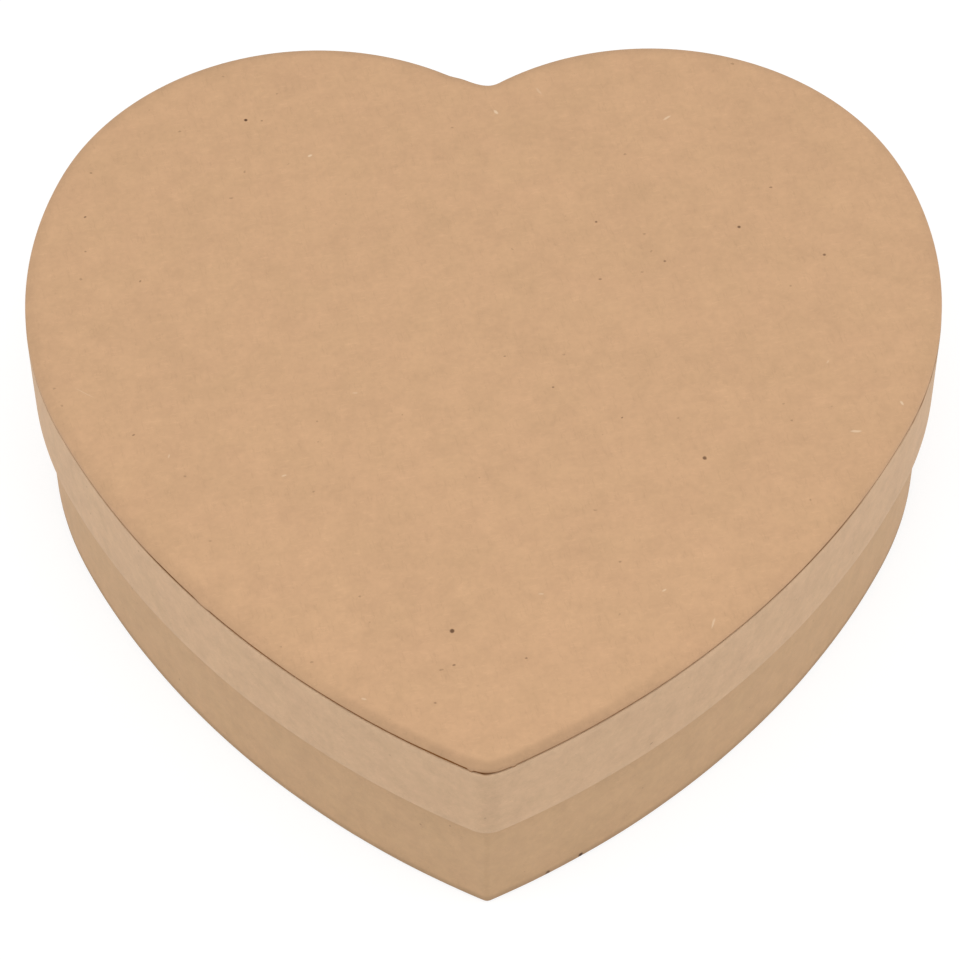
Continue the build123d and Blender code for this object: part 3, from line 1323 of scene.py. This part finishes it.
    def rim_wrap(self) -> Object:
        """Kraft strip round the rim, its lower edge a little uneven from trimming by hand.

        Returns:
            The strip.
        """
        path = self.outline.ring(0.0, self.outline.rim_tip_radius)
        shelter = self.outline.ring(self.sheet_setback, self.sheet_tip_radius)
        section = self.rim_section()
        paper = self.papers[Paper.RIM]
        wrap = self.sweep.run("lid_rim_wrap_paper", path, section, paper, seed=self.rim_seed)
        count = len(section.points)
        band = [self.rim_bottom + level for level in self.edge_waver_band]
        paler_folds: list[float] = []
        groove: list[float] = []
        for i, vertex in enumerate(wrap.data.vertices):
            spot = path[i // count]
            out, up = section.points[i % count]
            clear = (spot - shelter[i // count]).length + out
            # Painted shadow on the rim's top edge where the seam is open, close to the sheet's edge
            open_share = ease(*self.groove_seam, self.seam(spot))
            shadow_share = open_share * ease(*self.groove_reach, clear)
            groove.append(shadow_share if up > self.panel_level - self.groove_depth else 0.0)
            # Paler folds, partly wear and partly a painted highlight
            paler_folds.append(section.nearness(i % count, self.fold_reach))
            waver = self.edge_waver * uneven(spot, EDGE_LAYER, self.edge_waver_scale)
            vertex.co.z += ease(*band, vertex.co.z / MM) * waver * MM
            spanned = ease(-self.rim_tuck, -self.fold_radius, out)
            vertex.co.y += spanned * (self.bridge(spot) - spot).y * MM
        set_shares(wrap, Share.FOLD, paler_folds)
        set_shares(wrap, Share.GROOVE, groove)
        wrap = thickened(wrap, self.wrap_thickness)
        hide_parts("lid_rim_wrap")
        return wrap

    def rim_lap(self) -> Object:
        """End of the rim's strip, on the right of the cleft.

        Returns:
            The lap.
        """
        tip_radius = self.outline.rim_tip_radius
        path = self.outline.stretch(-self.lap_lift, tip_radius, self.lap_start, self.lap_end)
        high, low = self.panel_level - self.lap_trim, self.rim_bottom + self.lap_trim
        return self.lap("lid_rim_lap", path, high, low, Paper.RIM)


@dataclass
class Base(Shell):
    """Papers of the base: wrapped wall with a lap, and snipped tabs turned in underneath.

    Each row of a tab's outline is a share of its length and a share of the notch beside it.
    """

    tabs: TabRing = field(default_factory=TabRing)
    height: float = 49.4
    wall_outside: float = 2.2
    wall_depth: float = 1.6
    wall_tip_radius: float = 1.7
    wall_seed: float = 5.3
    turn_in: float = 9.0
    lap_trim: float = 0.4
    foot_radius: float = 0.5
    foot_band: float = 3.2
    foot_fine: float = 0.8
    # Painted shade toward the foot of the wall
    foot_shade: Pair = (2.6, 0.8)
    wear_lowest: float = 3.0
    tab_count: int = 36
    tab_length: float = 9.0
    tab_root: float = 1.0
    tab_gap: float = 0.05
    tab_rows: tuple[Pair, ...] = ((0.0, 0.0), (0.4, 0.35), (0.85, 0.8), (1.0, 1.12))
    notch_half_width: float = 2.5

    def build(self) -> list[Object]:
        """Build and dress the papers of the base.

        Returns:
            The pieces.
        """
        pieces = [self.wall_wrap(), self.wall_lap(), self.foot_tabs()]
        for piece in pieces:
            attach(piece, Body.BASE.value)
        return pieces

    def wall_section(self) -> PaperProfile:
        """Section of the wall's strip: up the inside, over the top edge, down the outside, under.

        Returns:
            The section.
        """
        inside = -self.wall_depth
        section = PaperProfile()
        section.line(inside, self.height - self.turn_in)
        section.fold((inside, self.height), (0.0, self.height), self.fold_radius)
        section.fold((0.0, self.height), (0.0, 0.0), self.fold_radius)
        section.line(0.0, self.foot_band)
        section.line(0.0, self.foot_fine, step=0.4)
        section.fold((0.0, 0.0), (inside, 0.0), self.foot_radius)
        section.line(-self.tab_root, 0.0)
        return section

    def wall_wrap(self) -> Object:
        """Kraft strip round the wall, scuffed pale at its upper folds, with painted shade darkening
        its foot.

        Returns:
            The strip.
        """
        path = self.outline.ring(self.wall_outside, self.wall_tip_radius)
        section = self.wall_section()
        paper = self.papers[Paper.WALL]
        wrap = self.sweep.run("base_wall_wrap_paper", path, section, paper, seed=self.wall_seed)
        paler_folds: list[float] = []
        shade: list[float] = []
        for i, (_, up) in enumerate(section.points):
            paler_folds.append(section.nearness(i, self.fold_reach) if up > self.wear_lowest else 0.0)
            # Painted shade, darkening the wall toward its foot
            shade.append(ease(*self.foot_shade, up))
        set_shares(wrap, Share.FOLD, paler_folds * len(path))
        set_shares(wrap, Share.ROLL, shade * len(path))
        wrap = thickened(wrap, self.wrap_thickness)
        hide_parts("base_wall_wrap")
        return wrap

    def wall_lap(self) -> Object:
        """End of the wall's strip, on the left of the cleft.

        Returns:
            The lap.
        """
        inset = self.wall_outside - self.lap_lift
        path = self.outline.stretch(inset, self.wall_tip_radius, -self.lap_end, -self.lap_start)
        high, low = self.height - self.lap_trim, self.lap_trim
        return self.lap("base_wall_lap", path, high, low, Paper.WALL)

    def foot_tabs(self) -> Object:
        """Lower edge of the wall's strip, snipped into tabs and glued under the base.

        Returns:
            The tabs, with a notch at the point of the heart.
        """
        path = self.outline.ring(self.wall_outside + self.tab_root, self.wall_tip_radius)
        run = sum((a - b).length for a, b in zip(path, path[1:] + path[:1]))
        half = run / self.tab_count / 2 - self.tab_gap
        start, gone = 0, 0.0
        while gone < half:
            gone += (path[start + 1] - path[start]).length
            start += 1
        path = path[start:] + path[:start]
        points = [
            (side * (half - self.notch_half_width * pinch), along * self.tab_length, 0.0)
            for along, pinch in self.tab_rows
            for side in (1, -1)
        ]
        corners = range(0, len(points) - 2, 2)
        tab = mesh_piece("tab", points, [(i, i + 1, i + 3, i + 2) for i in corners])
        paper = self.papers[Paper.WALL]
        ring = self.tabs.run("base_foot_tabs", path, tab, self.tab_count, paper)
        ring = thickened(ring, self.wrap_thickness)
        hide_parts("base_wall_wrap")
        return ring


# Studio


@dataclass(frozen=True)
class Softbox:
    """Square soft light turned to the box, in metres and watts."""

    name: str
    place: Triple
    size: float
    power: float
    aim: Triple = (0.0, 0.0, 0.025)

    def build(self) -> None:
        """Set up the light, itself unseen."""
        data = bpy.data.lights.new(self.name, "AREA")
        data.shape = "SQUARE"
        data.size = self.size
        data.energy = self.power
        made = linked(self.name, data)
        made.location = self.place
        toward = Vector(self.aim) - Vector(self.place)
        made.rotation_euler = toward.to_track_quat("-Z", "Y").to_euler()
        made.visible_camera = False


@dataclass
class Studio:
    """Plain white studio: floor, soft lights, and the camera at the photograph's angle."""

    elevation: float = 51.777
    azimuth: float = 0.046
    roll: float = 0.377
    distance: float = 875.682
    target: Triple = (-0.997, 14.025, 0.0)
    lens: float = 145.04
    sensor: float = 36.0
    clip: Pair = (0.01, 50.0)
    floor_reach: float = 3000.0
    floor_level: float = -0.3
    floor_tone: float = 0.85
    floor_shadow: float = 0.30
    floor_lift: float = 0.77
    sky: float = 0.716
    sky_mirrored: float = 0.8
    softboxes: tuple[Softbox, ...] = (
        Softbox("overhead", (0.0, -0.35, 0.95), size=0.6, power=2.0),
        Softbox("left", (-1.75, -0.25, 0.6), size=1.2, power=6.45),
        Softbox("right", (1.75, -0.25, 0.6), size=1.2, power=6.45),
    )

    def build(self) -> None:
        """Set up the camera, lights, floor and surroundings."""
        self.camera()
        for softbox in self.softboxes:
            softbox.build()
        self.floor()
        self.surroundings()

    def camera(self) -> None:
        """Set up the camera at the angle that the photograph was taken from."""
        a, e, r = (math.radians(v) for v in (self.azimuth, self.elevation, self.roll))
        back = Vector((math.sin(a) * math.cos(e), -math.cos(a) * math.cos(e), math.sin(e)))
        level = Vector((0.0, 0.0, 1.0)).cross(back).normalized()
        rise = back.cross(level)
        right = level * math.cos(r) - rise * math.sin(r)
        up = rise * math.cos(r) + level * math.sin(r)
        data = bpy.data.cameras.new("camera")
        data.lens = self.lens
        data.sensor_width = self.sensor
        data.clip_start, data.clip_end = self.clip
        made = linked("camera", data)
        turn = Matrix((right, up, back)).transposed().to_4x4()
        place = (Vector(self.target) + back * self.distance) * MM
        made.matrix_world = Matrix.Translation(place) @ turn
        bpy.context.scene.camera = made

    def floor(self) -> None:
        """Set up the pale floor, which shows white and keeps the soft shadow of the box."""
        far, level = self.floor_reach, self.floor_level
        corners = [(x * far, y * far, level) for x, y in ((-1, -1), (1, -1), (1, 1), (-1, 1))]
        paper, book = new_material("studio_floor")
        pale, shaded = (
            book.add("ShaderNodeBsdfDiffuse", None, {"Color": (tone, tone, tone, 1.0)})
            for tone in (self.floor_tone, self.floor_shadow)
        )
        glow = book.add("ShaderNodeEmission", None, {"Strength": self.floor_lift})
        white = book.add("ShaderNodeAddShader", None, {0: shaded, 1: glow})
        both = book.add("ShaderNodeMixShader", None, {0: self._seen(book), 1: pale, 2: white})
        book.node("ShaderNodeOutputMaterial", None, {"Surface": both})
        mesh_piece("studio_floor", corners, [(0, 1, 2, 3)], paper)

    def surroundings(self) -> None:
        """Set up even white light from all round, plain white where it is seen."""
        world = bpy.data.worlds.new("studio")
        world.use_nodes = True
        bpy.context.scene.world = world
        book = NodeBook(world.node_tree)
        camera = book.add("ShaderNodeLightPath", output="Is Camera Ray")
        glow = self.sky + (self.sky_mirrored - self.sky) * self._seen(book)
        glow = glow + (1.0 - self.sky_mirrored) * camera
        lit = {"Color": (1.0, 1.0, 1.0, 1.0), "Strength": glow}
        sky = book.add("ShaderNodeBackground", None, lit)
        book.node("ShaderNodeOutputWorld", None, {"Surface": sky})

    @staticmethod
    def _seen(book: NodeBook) -> Wire:
        """1 for rays that show the background, 0 for rays that light the box."""
        ray = book.add("ShaderNodeLightPath", output="Is Camera Ray")
        return ray.or_more(ray.beside("Is Glossy Ray")).or_more(ray.beside("Is Transmission Ray"))


# Marks of the papers, as the photograph shows them: x, y, length, width, turn, strength
BARK_MARKS = (
    Mark(-6.8, -65.9, 1.0, 1.2, 0.0, 0.85),
    Mark(46.3, -21.4, 1.0, 1.1, 20.0, 0.75),
    Mark(-53.4, 77.0, 0.9, 0.9, 0.0, 0.95),
    Mark(56.5, 43.7, 0.8, 0.8, 50.0, 0.75),
    Mark(74.8, 35.4, 0.8, 0.7, 30.0, 0.65),
    Mark(-6.4, -74.4, 0.8, 0.5, 15.0, 0.55),
    Mark(25.0, 45.5, 0.7, 0.6, 80.0, 0.65),
    Mark(39.8, 33.8, 0.7, 0.6, 10.0, 0.55),
    Mark(8.2, -72.8, 0.7, 0.4, 0.0, 0.55),
    Mark(14.7, -1.8, 0.6, 0.5, 0.0, 0.60),
    Mark(-10.2, -83.7, 0.7, 0.4, 0.0, 0.45),
    Mark(-88.0, 47.8, 0.7, 0.5, 40.0, 0.65),
    Mark(25.5, 28.7, 0.8, 0.6, 10.0, 0.45),
    Mark(29.2, -10.3, 0.6, 0.4, 60.0, 0.60),
    Mark(-74.1, -14.3, 0.8, 0.5, 35.0, 0.50),
    Mark(64.1, 55.5, 0.8, 0.6, 0.0, 0.50),
    Mark(-74.9, 28.9, 0.7, 0.5, 70.0, 0.45),
    Mark(-87.5, 61.0, 0.7, 0.5, 0.0, 0.45),
    Mark(4.5, 6.9, 0.6, 0.4, 15.0, 0.40),
    Mark(-49.8, 76.7, 0.6, 0.5, 0.0, 0.45),
    Mark(-87.3, 37.6, 0.6, 0.5, 0.0, 0.40),
    Mark(-35.4, -10.8, 0.6, 0.5, 25.0, 0.30),
    Mark(41.1, -10.5, 0.6, 0.4, 0.0, 0.30),
)
PALE_MARKS = (
    Mark(78.5, -14.4, 2.6, 0.7, 0.0, 0.52),
    Mark(3.1, 79.0, 1.6, 0.8, -50.0, 0.65),
    Mark(-38.7, 65.9, 1.2, 0.7, 30.0, 0.65),
    Mark(88.8, -6.8, 1.4, 0.6, 120.0, 0.60),
    Mark(41.7, 76.9, 2.4, 0.6, 38.0, 0.50),
    Mark(36.6, -55.9, 1.2, 0.5, 30.0, 0.45),
    Mark(46.3, -64.3, 2.8, 0.5, 73.0, 0.40),
    Mark(-24.5, -82.6, 1.2, 0.5, -20.0, 0.40),
    Mark(-42.0, -25.4, 1.2, 0.5, 20.0, 0.42),
    Mark(12.9, 85.5, 2.6, 0.6, 120.0, 0.25),
    Mark(73.7, 4.8, 1.2, 0.4, 60.0, 0.30),
    Mark(11.4, -56.7, 1.2, 0.5, 0.0, 0.35),
    Mark(-66.4, -20.0, 1.2, 0.4, 75.0, 0.35),
    Mark(-27.5, -3.1, 1.2, 0.4, 0.0, 0.30),
    Mark(-85.1, -2.7, 5.2, 0.2, -32.4, 0.30),
)
FOOT_NICKS = (
    Mark(12.75, -91.3, 1.3, 1.6, 32.0, 0.75, z=0.7),
    Mark(19.7, -86.95, 1.2, 1.6, 32.0, 1.0, z=0.8),
)


def make_papers() -> dict[Paper, Material]:
    """Make the finishes of the box.

    Returns:
        The material of each paper and board.
    """
    # Painted shade and painted shadow on the facing, painted highlight on the rim's folds, painted
    # shade at the wall's foot
    facing = KraftFinish(
        Paper.FACING,
        (0.623, 0.381, 0.215),
        roll_shade=0.12,
        groove=1.0,
        dark_marks=BARK_MARKS,
        light_marks=PALE_MARKS,
    )
    rim = KraftFinish(
        Paper.RIM, (0.60, 0.40, 0.247), mottle=0.26, grain=0.24, wear_and_highlight=0.10, groove=1.0
    )
    wall = KraftFinish(
        Paper.WALL, (0.550, 0.354, 0.201), wear_and_highlight=0.12, roll_shade=0.22, dark_marks=FOOT_NICKS
    )
    lining = KraftFinish(Paper.LINING, (0.55, 0.36, 0.21), grain=0.14, fibre=0.07)
    few_specks = replace(SPECKS, share=0.05)
    tape = KraftFinish(Paper.TAPE, (0.50, 0.31, 0.165), grain=0.08, specks=few_specks)
    chipboard = BoardFinish(
        Paper.CHIPBOARD, (0.30, 0.215, 0.135), fleck_tone=(0.45, 0.36, 0.26)
    )
    greyboard = BoardFinish(Paper.GREYBOARD, (0.25, 0.175, 0.110))
    # Board darkened as painted shade, for the edge that shows in the seam
    shaded_board = BoardFinish(
        Paper.GLUED_BOARD, (0.215, 0.085, 0.018), fleck_tone=(0.29, 0.14, 0.05)
    )
    finishes = (facing, rim, wall, lining, tape, chipboard, greyboard, shaded_board)
    return {finish.paper: finish.material() for finish in finishes}


def dress_nodes(frame: dict, papers: dict[Paper, Material]) -> None:
    """Give each board, lining and tape of the frame the finish of its record slot.

    The board of the top, whose edge shows in the seam, takes a darker board colour as painted
    shade.

    Args:
        frame: The loaded frame.
        papers: The finishes.
    """
    for part in frame["record"]["subparts"]:
        node, slot = part["node"], part["material_slot"]
        paper = Paper.WALL if slot == Slot.WRAP.value else Paper(slot)
        # Painted shade: a darker board where its edge shows in the seam
        if node == "lid_top_board":
            paper = Paper.GLUED_BOARD
        materials = frame["nodes"][node].data.materials
        materials.clear()
        materials.append(papers[paper])
        log.info("dressed %s in %s", node, paper.value)


def main() -> None:
    """Load the frame, dress it, build the papers and the studio."""
    logging.basicConfig(level=logging.INFO, format="%(name)s: %(message)s")
    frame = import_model()
    bpy.context.scene.view_settings.view_transform = "Standard"
    papers = make_papers()
    dress_nodes(frame, papers)
    outline = HeartOutline()
    sweep = PaperSweep()
    lid = Lid(outline, sweep, papers)
    base = Base(outline, sweep, papers)
    for piece in lid.build() + base.build():
        log.info("built %s with %d faces", piece.name, len(piece.data.polygons))
    Studio().build()


if __name__ == "__main__":
    main()
